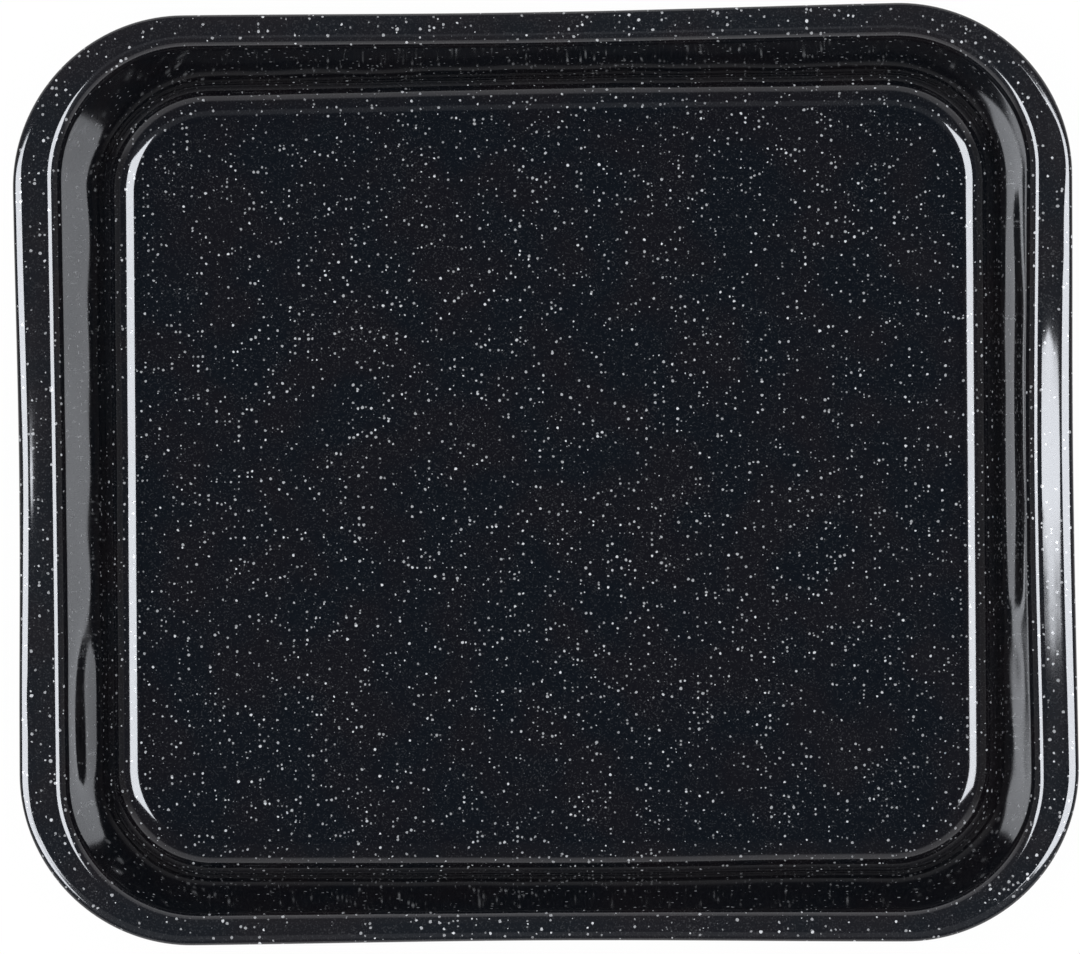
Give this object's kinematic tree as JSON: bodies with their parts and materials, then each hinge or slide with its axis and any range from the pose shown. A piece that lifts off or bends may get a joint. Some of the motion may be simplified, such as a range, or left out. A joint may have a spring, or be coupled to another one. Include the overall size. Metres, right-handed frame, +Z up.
{
  "type": "roasting pan",
  "caption": "Shallow rectangular roasting pan with rounded corners, sloping walls and a flat rim with a rolled edge, in black speckled enamel on steel.",
  "frame": {"origin": "middle of the flat underside, on the surface that the pan stands on", "axes": "+X along the pan's length, +Y across its width, +Z up"},
  "size_m": [0.37, 0.326, 0.061],
  "materials": {
    "enamel": "glossy black porcelain enamel with fine white speckles"
  },
  "bodies": {
    "root": {"pan": "enamel"}
  },
  "joints": []
}
